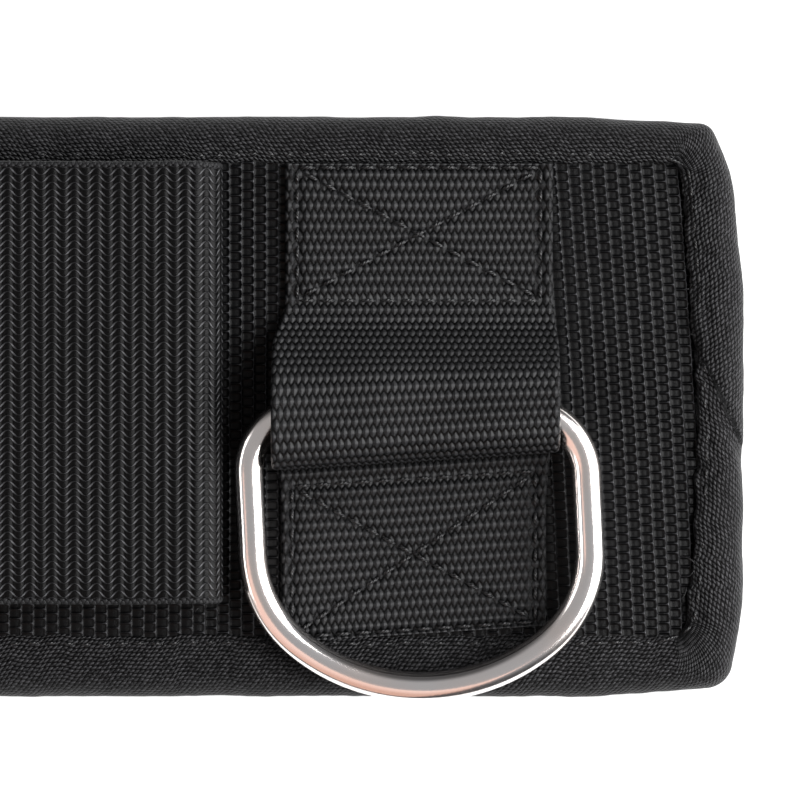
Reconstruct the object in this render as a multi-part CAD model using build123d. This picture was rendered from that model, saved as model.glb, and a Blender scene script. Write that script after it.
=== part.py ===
from build123d import *
import math
import os

# Dive weight belt, lying flat on its back with its face up. X runs along the belt, +Y is its upper
# edge when worn, +Z is the way its face looks. The origin is the middle of the back, on the table.
# Millimetres.

# Pad
PAD_HALF_LENGTH = 360.0
PAD_HALF_HEIGHT = 50.8
PAD_THICKNESS = 13.2
TAPE = 1.2
ROLL_RADIUS = 3.5
FACE_WEBBING_THICKNESS = 1.8
WINDOW_HALF_LENGTH = 350.5
WINDOW_TOP = 42.8
WINDOW_BOTTOM = -40.0

# Channel for the waist strap, in the back of the pad and open at its left end
CHANNEL_HALF_HEIGHT = 28.0
CHANNEL_DEPTH = 6.0
CHANNEL_END = 349.0
KEEPER_PLACES = (-240.0, 0.0, 240.0)
KEEPER_LENGTH = 20.0
KEEPER_HALF_HEIGHT = 36.0

# Weight sleeves and the plates in them
SLEEVE_PITCH = 138.0
SLEEVE_COUNT = 4
SLEEVE_LENGTH = 124.0
SLEEVE_TOP = 42.6
SLEEVE_BOTTOM = -34.2
SLEEVE_WALL = 1.4
SLEEVE_GAP = 9.0
END_PANEL_THICKNESS = 1.0
CLOSURE_LENGTH = 100.0
CLOSURE_HEIGHT = 5.5
CLOSURE_THICKNESS = 0.5
PLATE_LENGTH = 110.0
PLATE_TOP = 41.0
PLATE_BOTTOM = -27.0
PLATE_THICKNESS = 7.6
PLATE_CORNER = 6.0
PLATE_EDGE = 1.2
TAB_WIDTH = 15.0
TAB_THICKNESS = 1.2
TAB_SEAT_DEPTH = 7.0
TAB_LOOP_RADIUS = 3.4
TAB_END = -46.0

# Strap that carries each D-ring
RING_STRAP_PLACE = 302.5
RING_STRAP_WIDTH = 50.0
RING_STRAP_THICKNESS = 1.5
RING_STRAP_TOP = 42.6
RING_STRAP_BOTTOM = -39.8
PLEAT_TURN = 8.0
PLEAT_GAP = 0.2
LOOP_REACH = 7.2
LOOP_SLOPE = 52.0
CREST_LENGTH = 5.0

# D-ring
RING_PLACE = 303.1
RING_WIRE = 5.0
RING_HALF_WIDTH = 29.45
RING_BAR_Y = -0.3
RING_CORNER_RADIUS = 11.5
RING_LEG_END_Y = -25.2
RING_SHOULDER_RADIUS = 20.66
RING_SHOULDER_TURN = 52.0
RING_DROP = 2.0
BAR_CLEARANCE = 0.2

# Box-and-cross stitching
STITCH_WIDTH = 0.8
STITCH_THICKNESS = 0.2
STITCH_HALF_LENGTH = 21.3
UPPER_STITCH = (18.6, 41.9)
LOWER_STITCH = (-39.0, -12.6)

# Waist strap
STRAP_WIDTH = 50.0
STRAP_THICKNESS = 1.6
STRAP_RUN_Z = 4.8
STRAP_TAIL_Z = 2.5
STRAP_FOLD_X = 345.0
STRAP_TAIL_X = -77.0
STRAP_RISE_X = (-380.0, -364.0)
STRAP_SEWN_X = -384.0
STRAP_SEWN_LENGTH = 22.0
STRAP_SEWN_GAP = 0.1
TIP_LENGTH = 12.0
TIP_WALL = 0.5

# Buckle
BUCKLE_REAR_X = -421.0
BUCKLE_LENGTH = 58.0
BUCKLE_HALF_WIDTH = 31.0
BUCKLE_PLATE = 2.0
BUCKLE_BASE_Z = 1.7
BUCKLE_BAR = 5.0
BUCKLE_SLOT = 8.0
BUCKLE_SLOT_HALF_WIDTH = 26.0
BUCKLE_CORNER = 5.0
FRONT_SLOT_OFFSET = 41.0
EAR_LENGTH = 15.0
EAR_THICKNESS = 2.0
EAR_TOP_RADIUS = 5.0
PIN_OFFSET = 27.0
PIN_RADIUS = 2.0
PIN_RISE = 5.6
PIN_HEAD_RADIUS = 3.2
PIN_HEAD_THICKNESS = 1.0
LEVER_BORE_CLEARANCE = 0.05
LEVER_HALF_WIDTH = 28.2
LEVER_THICKNESS = 1.8
LEVER_HUB_RADIUS = 3.6
LEVER_ROUTE = ((0.0, 2.7), (-12.0, 2.7), (-33.0, -0.9), (-42.0, 1.4))
LEVER_BENDS = [12.0, 10.0]
LEVER_WINDOW = (24.0, 8.0)
LEVER_WINDOW_OFFSET = 22.0
CAM_NOSE_RADIUS = 1.5
CAM_NOSE_PLACE = (-0.8, -3.4)

# Worked out from the sizes above
LINING_TOP = CHANNEL_DEPTH + 2 * TAPE
FACE_TOP = PAD_THICKNESS - TAPE
FACE_BOTTOM = FACE_TOP - FACE_WEBBING_THICKNESS
SLEEVE_THICKNESS = SLEEVE_GAP + 2 * SLEEVE_WALL
SLEEVE_MIDDLE_Z = FACE_TOP + SLEEVE_THICKNESS / 2
SLEEVE_PLACES = [(i - (SLEEVE_COUNT - 1) / 2) * SLEEVE_PITCH for i in range(SLEEVE_COUNT)]
RING_AXIS_Z = FACE_TOP + 2 * RING_STRAP_THICKNESS + PLEAT_GAP + RING_WIRE / 2 + BAR_CLEARANCE
STRAP_TOP_Z = FACE_TOP + RING_STRAP_THICKNESS
BASE_TOP_Z = BUCKLE_BASE_Z + BUCKLE_PLATE
PIN_Z = BASE_TOP_Z + PIN_RISE
PIN_X = BUCKLE_REAR_X - PIN_OFFSET


def block(x, y, z):
    """A box between the lowest and highest values given for each axis."""
    size = (x[1] - x[0], y[1] - y[0], z[1] - z[0])
    middle = ((x[0] + x[1]) / 2, (y[0] + y[1]) / 2, (z[0] + z[1]) / 2)
    return Pos(*middle) * Box(*size)


def ribbon(points, radii, thickness):
    """The edge-on outline of a strap of even thickness along a centre line with rounded corners."""
    points = [Vector(*point) for point in points]
    steps = [(b - a).normalized() for a, b in zip(points, points[1:])]
    turns = [before.cross(after).Z for before, after in zip(steps, steps[1:])]
    sides = []
    for side in (1, -1):
        line = [points[0] + steps[0].rotate(Axis.Z, 90) * (side * thickness / 2)]
        for point, before, after in zip(points[1:], steps, steps[1:]):
            normal = (before + after).normalized().rotate(Axis.Z, 90)
            reach = side * thickness / 2 / normal.dot(before.rotate(Axis.Z, 90))
            line.append(point + normal * reach)
        line.append(points[-1] + steps[-1].rotate(Axis.Z, 90) * (side * thickness / 2))
        rounds = [r - side * math.copysign(thickness / 2, turn) for r, turn in zip(radii, turns)]
        sides.append(FilletPolyline(*line, radius=rounds) if radii else Line(*line))
    left, right = sides
    return make_face(Curve() + [left, right, Line(left @ 0, right @ 0), Line(left @ 1, right @ 1)])


def across_belt(outline, place, half_width):
    """A solid whose outline is drawn in Y and Z, centred on one place along the belt."""
    return extrude(Plane.YZ.offset(place) * outline, half_width, both=True)


def along_belt(outline, half_width):
    """A solid whose outline is drawn in X and Z, centred on the belt's middle line."""
    return extrude(Plane.XZ * outline, half_width, both=True)


def pad_outline(inset):
    """The pad's outline: a round upper corner and a tighter lower one at each end."""
    right_half = [
        (335.0, -PAD_HALF_HEIGHT),
        (357.2, -PAD_HALF_HEIGHT + 1.6),
        (PAD_HALF_LENGTH, -36.0),
        (PAD_HALF_LENGTH, 18.0),
        (357.6, PAD_HALF_HEIGHT),
    ]
    radii = [60.0, 5.0, 20.0, 60.0, 8.0]
    left_half = [(-x, y) for x, y in reversed(right_half)]
    outline = make_face(
        FilletPolyline(*right_half, *left_half, radius=radii + radii[::-1], close=True)
    )
    return offset(outline, -inset) if inset else outline


def layer(inset, low, high):
    return Pos(0, 0, low) * extrude(pad_outline(inset), high - low)


def channel(height, half_height, end):
    """The space the waist strap's channel takes up, open below and at the left end."""
    return block((-2 * PAD_HALF_LENGTH, end), (-half_height, half_height), (-1, height))


def rolled(solid, radius):
    """Rounds the long upper and lower rims of a pad layer."""
    rims = solid.edges().group_by(Axis.Z)
    return fillet(rims[0] + rims[-1], radius)


# Pad

def make_pad():
    outside = rolled(layer(0, 0, PAD_THICKNESS), ROLL_RADIUS)
    inside = rolled(layer(TAPE, TAPE, FACE_TOP), ROLL_RADIUS - TAPE)
    window = block(
        (-WINDOW_HALF_LENGTH, WINDOW_HALF_LENGTH), (WINDOW_BOTTOM, WINDOW_TOP), (-1, PAD_THICKNESS + 1)
    )
    notch = channel(CHANNEL_DEPTH, CHANNEL_HALF_HEIGHT, CHANNEL_END)
    binding = outside - inside - window - notch
    filling = inside - channel(CHANNEL_DEPTH + TAPE, CHANNEL_HALF_HEIGHT + TAPE, CHANNEL_END + TAPE)
    face = filling & block((-400, 400), (-60, 60), (FACE_BOTTOM, FACE_TOP))
    foam_space = block((-400, 400), (-60, 60), (2 * TAPE, FACE_BOTTOM))
    lined_channel = channel(LINING_TOP, CHANNEL_HALF_HEIGHT + 2 * TAPE, CHANNEL_END + 2 * TAPE)
    foam = (filling & foam_space) - lined_channel
    lining = filling - face - foam
    return {
        "edge_binding": binding,
        "face_webbing": face,
        "foam_core": foam,
        "back_lining": lining,
    }


# Sleeves, plates and their tabs

def make_sleeve(place):
    outer = SlotOverall(SLEEVE_LENGTH, SLEEVE_THICKNESS)
    inner = SlotOverall(SLEEVE_LENGTH - 2 * SLEEVE_WALL, SLEEVE_GAP)
    tube = Plane.XZ.offset(-SLEEVE_TOP) * Pos(place, SLEEVE_MIDDLE_Z) * (outer - inner)
    return extrude(tube, SLEEVE_TOP - SLEEVE_BOTTOM)


def make_end_panel(place):
    half = PLATE_LENGTH / 2
    return block(
        (place - half, place + half),
        (SLEEVE_TOP - END_PANEL_THICKNESS, SLEEVE_TOP),
        (SLEEVE_MIDDLE_Z - SLEEVE_GAP / 2, SLEEVE_MIDDLE_Z + SLEEVE_GAP / 2),
    )


def make_closure(place, wall):
    """A strip of the hook-and-loop closure: wall is -1 on the pad's side and 1 on the outside."""
    half = CLOSURE_LENGTH / 2
    against = SLEEVE_MIDDLE_Z + wall * SLEEVE_GAP / 2
    depths = sorted((against, against - wall * CLOSURE_THICKNESS))
    return block(
        (place - half, place + half), (SLEEVE_BOTTOM + 0.5, SLEEVE_BOTTOM + 0.5 + CLOSURE_HEIGHT), depths
    )


def tab_seat(place, clearance):
    half = TAB_WIDTH / 2 + clearance
    depth = TAB_THICKNESS + clearance
    return block(
        (place - half, place + half),
        (PLATE_BOTTOM - 1, PLATE_BOTTOM + TAB_SEAT_DEPTH),
        (SLEEVE_MIDDLE_Z - depth, SLEEVE_MIDDLE_Z + depth),
    )


def make_plate(place):
    outline = RectangleRounded(PLATE_LENGTH, PLATE_TOP - PLATE_BOTTOM, PLATE_CORNER)
    plate = extrude(outline, PLATE_THICKNESS / 2, both=True)
    rims = plate.edges().group_by(Axis.Z)
    plate = fillet(rims[0] + rims[-1], PLATE_EDGE)
    plate = Pos(place, (PLATE_TOP + PLATE_BOTTOM) / 2, SLEEVE_MIDDLE_Z) * plate
    return plate - tab_seat(place, 0)


def make_tab(place):
    """A folded webbing tab: two layers cast into the plate, opening into a loop to pull."""
    loop_middle = TAB_END + TAB_LOOP_RADIUS
    outside = Pos(loop_middle, SLEEVE_MIDDLE_Z) * Circle(TAB_LOOP_RADIUS)
    layers_end = PLATE_BOTTOM + TAB_SEAT_DEPTH
    layers = Pos((loop_middle + layers_end) / 2, SLEEVE_MIDDLE_Z) * Rectangle(
        layers_end - loop_middle, 2 * TAB_THICKNESS
    )
    hole = Pos(loop_middle, SLEEVE_MIDDLE_Z) * Circle(TAB_LOOP_RADIUS - TAB_THICKNESS)
    return across_belt(outside + layers - hole, place, TAB_WIDTH / 2)


# D-ring and the strap that carries it

def make_ring_strap(place):
    half = RING_STRAP_THICKNESS / 2
    under = FACE_TOP + half
    back = under + RING_STRAP_THICKNESS + PLEAT_GAP
    crest = RING_AXIS_Z + LOOP_REACH + half
    left = RING_BAR_Y - LOOP_REACH - half
    slope_start = RING_BAR_Y + CREST_LENGTH
    slope_end = slope_start + (crest - under) / math.tan(math.radians(LOOP_SLOPE))
    pleat = (back - under) / 2 - 0.005
    points = [
        (RING_STRAP_BOTTOM, under),
        (PLEAT_TURN, under),
        (PLEAT_TURN, back),
        (left, back),
        (left, crest),
        (slope_start, crest),
        (slope_end, under),
        (RING_STRAP_TOP, under),
    ]
    radii = [pleat, pleat, 3.6, 6.0, 7.0, 7.0]
    return across_belt(ribbon(points, radii, RING_STRAP_THICKNESS), place, RING_STRAP_WIDTH / 2)


def make_ring(place):
    """Bent from one round wire: a bar, two corners, straight legs, and a flattened round end."""
    bar = Line((0, 0), (RING_HALF_WIDTH - RING_CORNER_RADIUS, 0))
    corner = JernArc(bar @ 1, (1, 0), RING_CORNER_RADIUS, -90)
    leg = Line(corner @ 1, (RING_HALF_WIDTH, RING_LEG_END_Y - RING_BAR_Y))
    shoulder = JernArc(leg @ 1, (0, -1), RING_SHOULDER_RADIUS, -RING_SHOULDER_TURN)
    end_radius = (shoulder @ 1).X / math.cos(math.radians(RING_SHOULDER_TURN))
    end = JernArc(shoulder @ 1, shoulder % 1, end_radius, RING_SHOULDER_TURN - 90)
    half = Curve() + [bar, corner, leg, shoulder, end]
    route = Wire(half.edges())
    section = Plane(origin=(0, 0, 0), z_dir=(1, 0, 0)) * Circle(RING_WIRE / 2)
    side = sweep(section, route)
    ring = side + mirror(side, about=Plane.YZ)
    return Pos(place, RING_BAR_Y, RING_AXIS_Z) * Rot(RING_DROP, 0, 0) * ring


def make_box_and_cross(place, low, high):
    """One patch of stitching: a rectangle of thread with both its diagonals."""
    half = STITCH_HALF_LENGTH
    height = high - low
    frame = Rectangle(2 * half, height) - Rectangle(2 * (half - STITCH_WIDTH), height - 2 * STITCH_WIDTH)
    diagonal = 2 * math.hypot(half, height / 2) - 2 * STITCH_WIDTH
    lean = math.degrees(math.atan2(height / 2, half))
    cross = [Rot(0, 0, sign * lean) * Rectangle(diagonal, STITCH_WIDTH) for sign in (1, -1)]
    patch = extrude(frame + cross, STITCH_THICKNESS)
    return Pos(place, (low + high) / 2, STRAP_TOP_Z) * patch


# Waist strap

def make_waist_strap():
    half = STRAP_THICKNESS / 2
    bar_rear = BUCKLE_REAR_X - BUCKLE_BAR
    over_bar = BASE_TOP_Z + 0.1 + half
    in_slot = bar_rear - 0.1 - half
    fold = (STRAP_RUN_Z - STRAP_TAIL_Z) / 2 - 0.005
    sewn_z = half + STRAP_THICKNESS + STRAP_SEWN_GAP
    points = [
        (STRAP_SEWN_X, sewn_z),
        (STRAP_SEWN_X - STRAP_SEWN_LENGTH, sewn_z),
        (BUCKLE_REAR_X + 2, over_bar),
        (in_slot, over_bar),
        (in_slot, half),
        (STRAP_RISE_X[0], half),
        (STRAP_RISE_X[1], STRAP_RUN_Z),
        (STRAP_FOLD_X, STRAP_RUN_Z),
        (STRAP_FOLD_X, STRAP_TAIL_Z),
        (STRAP_TAIL_X, STRAP_TAIL_Z),
    ]
    radii = [8.0, 8.0, 1.0, 1.0, 20.0, 20.0, fold, fold]
    return along_belt(ribbon(points, radii, STRAP_THICKNESS), STRAP_WIDTH / 2)


def make_strap_tip():
    """A thin clip crimped over the end of the tail."""
    half = STRAP_THICKNESS / 2
    side = STRAP_WIDTH / 2
    x = (STRAP_TAIL_X, STRAP_TAIL_X + TIP_LENGTH)
    clip = block(
        (x[0] - TIP_WALL, x[1]),
        (-side - TIP_WALL, side + TIP_WALL),
        (STRAP_TAIL_Z - half - TIP_WALL, STRAP_TAIL_Z + half + TIP_WALL),
    )
    return clip - block((x[0], x[1] + 1), (-side, side), (STRAP_TAIL_Z - half, STRAP_TAIL_Z + half))


def make_keeper(place):
    half = KEEPER_LENGTH / 2
    return block((place - half, place + half), (-KEEPER_HALF_HEIGHT, KEEPER_HALF_HEIGHT), (0, TAPE))


# Buckle

def slot_cut(rear):
    return block(
        (rear - BUCKLE_SLOT, rear),
        (-BUCKLE_SLOT_HALF_WIDTH, BUCKLE_SLOT_HALF_WIDTH),
        (BUCKLE_BASE_Z - 1, BASE_TOP_Z + 1),
    )


def make_buckle_frame():
    outline = RectangleRounded(BUCKLE_LENGTH, 2 * BUCKLE_HALF_WIDTH, BUCKLE_CORNER)
    base = Pos(BUCKLE_REAR_X - BUCKLE_LENGTH / 2, 0, BUCKLE_BASE_Z) * extrude(outline, BUCKLE_PLATE)
    base -= slot_cut(BUCKLE_REAR_X - BUCKLE_BAR)
    base -= slot_cut(BUCKLE_REAR_X - FRONT_SLOT_OFFSET + BUCKLE_SLOT / 2)
    upright = Pos(PIN_X, (BASE_TOP_Z + PIN_Z) / 2) * Rectangle(EAR_LENGTH, PIN_RISE)
    top = Pos(PIN_X, PIN_Z) * Circle(EAR_TOP_RADIUS)
    hole = Pos(PIN_X, PIN_Z) * Circle(PIN_RADIUS)
    ear = along_belt(upright + top - hole, EAR_THICKNESS / 2)
    offset_y = BUCKLE_HALF_WIDTH - EAR_THICKNESS / 2
    return base + Pos(0, offset_y, 0) * ear + Pos(0, -offset_y, 0) * ear


def make_lever():
    """Closed, it lies over the frame with its cam down on the strap's way through."""
    hub = Circle(LEVER_HUB_RADIUS)
    nose = Pos(*CAM_NOSE_PLACE) * Circle(CAM_NOSE_RADIUS)
    cam = make_hull((hub + nose).edges())
    handle = ribbon(LEVER_ROUTE, LEVER_BENDS, LEVER_THICKNESS)
    bore = Circle(PIN_RADIUS + LEVER_BORE_CLEARANCE)
    lever = along_belt(Pos(PIN_X, PIN_Z) * (cam + handle - bore), LEVER_HALF_WIDTH)
    window = Pos(PIN_X - LEVER_WINDOW_OFFSET, 0, 0) * extrude(
        SlotOverall(*LEVER_WINDOW, rotation=90), 2 * PIN_Z
    )
    return lever - window


def make_pin():
    axle = Plane.XZ * Pos(PIN_X, PIN_Z) * Circle(PIN_RADIUS)
    head = Plane.XZ * Pos(PIN_X, PIN_Z) * Circle(PIN_HEAD_RADIUS)
    pin = extrude(axle, BUCKLE_HALF_WIDTH, both=True)
    for side in (1, -1):
        place = Pos(0, side * (BUCKLE_HALF_WIDTH + PIN_HEAD_THICKNESS / 2), 0)
        pin += place * extrude(head, PIN_HEAD_THICKNESS / 2, both=True)
    return pin


def make_nodes():
    nodes = make_pad()
    for number, place in enumerate(SLEEVE_PLACES, start=1):
        nodes[f"weight_sleeve_{number}"] = make_sleeve(place)
        nodes[f"weight_plate_{number}"] = make_plate(place)
        nodes[f"weight_tab_{number}"] = make_tab(place)
    nodes["sleeve_end_panels"] = Compound([make_end_panel(place) for place in SLEEVE_PLACES])
    nodes["closure_hook_strips"] = Compound([make_closure(place, -1) for place in SLEEVE_PLACES])
    nodes["closure_loop_strips"] = Compound([make_closure(place, 1) for place in SLEEVE_PLACES])
    for name, side in (("right", 1), ("left", -1)):
        nodes[f"d_ring_strap_{name}"] = make_ring_strap(side * RING_STRAP_PLACE)
        nodes[f"d_ring_{name}"] = make_ring(side * RING_PLACE)
    nodes["strap_stitching"] = Compound(
        [
            make_box_and_cross(side * RING_STRAP_PLACE, low, high)
            for side in (1, -1)
            for low, high in (UPPER_STITCH, LOWER_STITCH)
        ]
    )
    nodes["waist_strap"] = make_waist_strap()
    nodes["strap_tip"] = make_strap_tip()
    nodes["strap_keepers"] = Compound([make_keeper(place) for place in KEEPER_PLACES])
    nodes["buckle_frame"] = make_buckle_frame()
    nodes["buckle_lever"] = make_lever()
    nodes["buckle_pin"] = make_pin()
    return nodes


os.makedirs("parts", exist_ok=True)
for name, shape in make_nodes().items():
    shape.label = name
    export_step(shape, f"parts/{name}.step")
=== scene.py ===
import math

import bmesh
import bpy
import numpy as np
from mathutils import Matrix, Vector, noise
from numpy.linalg import norm


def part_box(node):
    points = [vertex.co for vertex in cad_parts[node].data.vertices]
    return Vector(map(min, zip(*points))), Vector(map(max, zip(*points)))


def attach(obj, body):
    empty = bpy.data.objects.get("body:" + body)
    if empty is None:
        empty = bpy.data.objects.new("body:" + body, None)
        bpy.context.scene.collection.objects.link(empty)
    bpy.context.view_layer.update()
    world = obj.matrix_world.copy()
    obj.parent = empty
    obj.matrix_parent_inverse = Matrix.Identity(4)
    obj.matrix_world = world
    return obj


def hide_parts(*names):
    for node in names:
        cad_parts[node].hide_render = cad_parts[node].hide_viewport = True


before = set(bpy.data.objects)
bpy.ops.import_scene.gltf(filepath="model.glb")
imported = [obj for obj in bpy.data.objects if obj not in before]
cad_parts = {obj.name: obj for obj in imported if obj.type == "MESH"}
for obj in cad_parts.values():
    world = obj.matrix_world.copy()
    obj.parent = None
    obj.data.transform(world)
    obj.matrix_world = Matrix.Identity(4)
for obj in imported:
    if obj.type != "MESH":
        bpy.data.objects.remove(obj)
scene = bpy.context.scene
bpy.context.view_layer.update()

MM = 0.001
FACE_RIB = 2.15
BAND_RIB = 1.93
STRAP_ROW = 1.83


# ---- meshes

def millimetre_box(node):
    """Lowest and highest corner of a CAD node, in millimetres."""
    low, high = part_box(node)
    return np.array(low) / MM, np.array(high) / MM


def finish_mesh(name, vertices, faces, corner_uvs):
    """A new object from points in millimetres; the map called weave holds metres along the cloth."""
    mesh = bpy.data.meshes.new(name)
    mesh.from_pydata((np.asarray(vertices) * MM).tolist(), [], [list(map(int, f)) for f in faces])
    layer = mesh.uv_layers.new(name="weave")
    layer.data.foreach_set("uv", (np.asarray(corner_uvs, float) * MM).ravel())
    mesh.validate()
    piece = bpy.data.objects.new(name, mesh)
    scene.collection.objects.link(piece)
    work = bmesh.new()
    work.from_mesh(mesh)
    bmesh.ops.recalc_face_normals(work, faces=work.faces)
    work.to_mesh(mesh)
    work.free()
    mesh.polygons.foreach_set("use_smooth", [True] * len(mesh.polygons))
    return piece


def grid_faces(rows, cols, wrap_rows, wrap_cols):
    r, c = np.meshgrid(
        np.arange(rows if wrap_rows else rows - 1),
        np.arange(cols if wrap_cols else cols - 1),
        indexing="ij",
    )
    steps = ((0, 0), (0, 1), (1, 1), (1, 0))
    faces = [((r + a) % rows) * cols + (c + b) % cols for a, b in steps]
    uv_cols = cols + int(wrap_cols)
    uv_index = [(r + a) * uv_cols + c + b for a, b in steps]
    return np.stack(faces, -1).reshape(-1, 4), np.stack(uv_index, -1).reshape(-1)


def cap_faces(rows, cols):
    """The two faces that close the ends of a tube of points."""
    return [list(range(cols)), [(rows - 1) * cols + c for c in range(cols)][::-1]]


def grid_piece(name, points, uvs, wrap_rows=False, wrap_cols=False, caps=False):
    """A mesh from rows and columns of points. uvs has one more row or column where the grid wraps."""
    rows, cols = points.shape[:2]
    faces, uv_index = grid_faces(rows, cols, wrap_rows, wrap_cols)
    corner_uvs = uvs.reshape(-1, 2)[uv_index]
    faces = faces.tolist()
    if caps:
        faces += cap_faces(rows, cols)
        corner_uvs = np.vstack([corner_uvs, uvs[0, :cols], uvs[-1, :cols][::-1]])
    return finish_mesh(name, points.reshape(-1, 3), faces, corner_uvs)


def grid_normals(points, wrap_rows, wrap_cols):
    def slope(axis, wrap):
        if wrap:
            return np.roll(points, -1, axis) - np.roll(points, 1, axis)
        return np.gradient(points, axis=axis)

    normals = np.cross(slope(1, wrap_cols), slope(0, wrap_rows))
    return normals / np.maximum(norm(normals, axis=-1, keepdims=True), 1e-9)


def joined(name, parts):
    """One object from several lists of points and faces."""
    vertices, faces, uvs, start = [], [], [], 0
    for points, part_faces, part_uvs in parts:
        vertices.append(points)
        faces += [[i + start for i in face] for face in part_faces]
        uvs.append(part_uvs)
        start += len(points)
    return finish_mesh(name, np.vstack(vertices), faces, np.vstack(uvs))


def rounded_path(points, radii, step, closed=False):
    """Points along straight runs joined by arcs, evenly spaced, and the distance along it."""
    points = [np.array(p, float) for p in points]
    count = len(points)
    corners = range(count) if closed else range(1, count - 1)
    line = [] if closed else [points[0]]
    for index, radius in zip(corners, radii):
        corner = points[index]
        before = points[index - 1] - corner
        after = points[(index + 1) % count] - corner
        before, after = before / norm(before), after / norm(after)
        half = math.acos(np.clip(before @ after, -1, 1)) / 2
        reach = radius / math.tan(half)
        middle = corner + (before + after) / norm(before + after) * radius / math.sin(half)
        start, end = corner + before * reach, corner + after * reach
        a0 = math.atan2(*(start - middle)[::-1])
        turn = math.atan2(*(end - middle)[::-1]) - a0
        turn = (turn + math.pi) % (2 * math.pi) - math.pi
        angles = a0 + turn * np.linspace(0, 1, 17)
        line += list(middle + radius * np.stack([np.cos(angles), np.sin(angles)], -1))
    if closed:
        line.append(line[0])
    else:
        line.append(points[-1])
    line = np.array(line)
    run = np.concatenate([[0], np.cumsum(norm(np.diff(line, axis=0), axis=1))])
    number = max(8, int(round(run[-1] / step)))
    places = np.linspace(0, run[-1], number + 1)
    if closed:
        places = places[:-1]
    return np.stack([np.interp(places, run, line[:, k]) for k in (0, 1)], -1), places


def rib_shape(place):
    """Rounded ribs, highest where place is a whole number, 1 there and 0 in the grooves."""
    return 1 - np.abs(2 * ((place + 0.5) % 1) - 1) ** 2.4


def smooth_step(x, low, high):
    t = np.clip((x - low) / (high - low), 0, 1)
    return t * t * (3 - 2 * t)


def wobble(points, scale, seed):
    """Smooth noise from -1 to 1 at each of some points in millimetres."""
    shift = Vector((seed * 17.3, seed * 5.1, seed * 9.7))
    flat = points.reshape(-1, 3) / scale
    values = [noise.noise(Vector(p) + shift) for p in flat]
    return np.array(values).reshape(points.shape[:-1]) * 1.6


# ---- materials

class Tree:
    """Adds nodes to a shader tree with few words. Any input may be a number, a colour or a socket."""

    def __init__(self, tree):
        self.tree = tree

    def add(self, kind):
        return self.tree.nodes.new(kind)

    def link(self, source, target):
        self.tree.links.new(source, target)

    def put(self, socket, value):
        if isinstance(value, bpy.types.NodeSocket):
            self.link(value, socket)
        else:
            socket.default_value = value

    def math(self, operation, a, b=0.0):
        node = self.add("ShaderNodeMath")
        node.operation = operation
        self.put(node.inputs[0], a)
        self.put(node.inputs[1], b)
        return node.outputs[0]

    def times(self, a, b):
        return self.math("MULTIPLY", a, b)

    def plus(self, a, b):
        return self.math("ADD", a, b)

    def minus(self, a, b):
        return self.math("SUBTRACT", a, b)

    def over(self, a, b):
        return self.math("DIVIDE", a, b)

    def size(self, a):
        return self.math("ABSOLUTE", a)

    def ramp(self, value, low, high, to_low=0.0, to_high=1.0):
        node = self.add("ShaderNodeMapRange")
        node.interpolation_type = "SMOOTHSTEP"
        for socket, item in zip(node.inputs, (value, low, high, to_low, to_high)):
            self.put(socket, item)
        return node.outputs[0]

    def mix(self, factor, a, b):
        node = self.add("ShaderNodeMix")
        node.data_type = "RGBA"
        self.put(node.inputs["Factor"], factor)
        self.put(node.inputs["A"], a)
        self.put(node.inputs["B"], b)
        return node.outputs["Result"]


class Nodes(Tree):
    """A new material, its main shader, and the patterns that cloth and metal are made from."""

    def __init__(self, name):
        self.material = bpy.data.materials.new(name)
        self.material.use_nodes = True
        super().__init__(self.material.node_tree)
        self.tree.nodes.clear()
        self.shader = self.add("ShaderNodeBsdfPrincipled")
        output = self.add("ShaderNodeOutputMaterial")
        self.link(self.shader.outputs[0], output.inputs["Surface"])

    def drive(self, name, value):
        self.put(self.shader.inputs[name], value)

    def weave_place(self):
        node = self.add("ShaderNodeUVMap")
        node.uv_map = "weave"
        split = self.add("ShaderNodeSeparateXYZ")
        self.link(node.outputs[0], split.inputs[0])
        return split.outputs[0], split.outputs[1]

    def object_noise(self, scale, detail=2.0, stretch=(1, 1, 1)):
        place = self.add("ShaderNodeTexCoord")
        mapping = self.add("ShaderNodeMapping")
        mapping.inputs["Scale"].default_value = stretch
        self.link(place.outputs["Object"], mapping.inputs["Vector"])
        node = self.add("ShaderNodeTexNoise")
        node.inputs["Scale"].default_value = scale
        node.inputs["Detail"].default_value = detail
        self.link(mapping.outputs[0], node.inputs["Vector"])
        return node.outputs["Fac"]

    def bump(self, height, distance, strength=1.0, before=None):
        node = self.add("ShaderNodeBump")
        node.inputs["Distance"].default_value = distance
        node.inputs["Strength"].default_value = strength
        self.put(node.inputs["Height"], height)
        if before is not None:
            self.link(before, node.inputs["Normal"])
        return node.outputs[0]

    def grain(self, u, v, pitch, period, shift, size, powers):
        """Height of one family of yarn floats: every second column, each float a rounded lozenge."""
        across = self.over(self.plus(u, shift[0]), 2 * pitch)
        along = self.over(self.plus(v, shift[1]), period)
        x = self.times(self.centred(across), 2.0)
        y = self.centred(along)
        x = self.math("POWER", self.over(self.size(x), size[0]), powers[0])
        y = self.math("POWER", self.over(self.size(y), size[1]), powers[1])
        return self.minus(self.minus(1.0, x), y)

    def centred(self, value):
        return self.minus(self.math("FRACT", self.plus(value, 0.5)), 0.5)

    def weave(self, u, v, pitch, period, size, powers):
        """Two families of floats, the second set half a period on, the higher one showing."""
        first = self.grain(u, v, pitch, period, (0.0, 0.0), size, powers)
        second = self.grain(u, v, pitch, period, (pitch, period / 2), size, powers)
        return self.math("MAXIMUM", self.math("MAXIMUM", first, second), 0.0)


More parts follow.
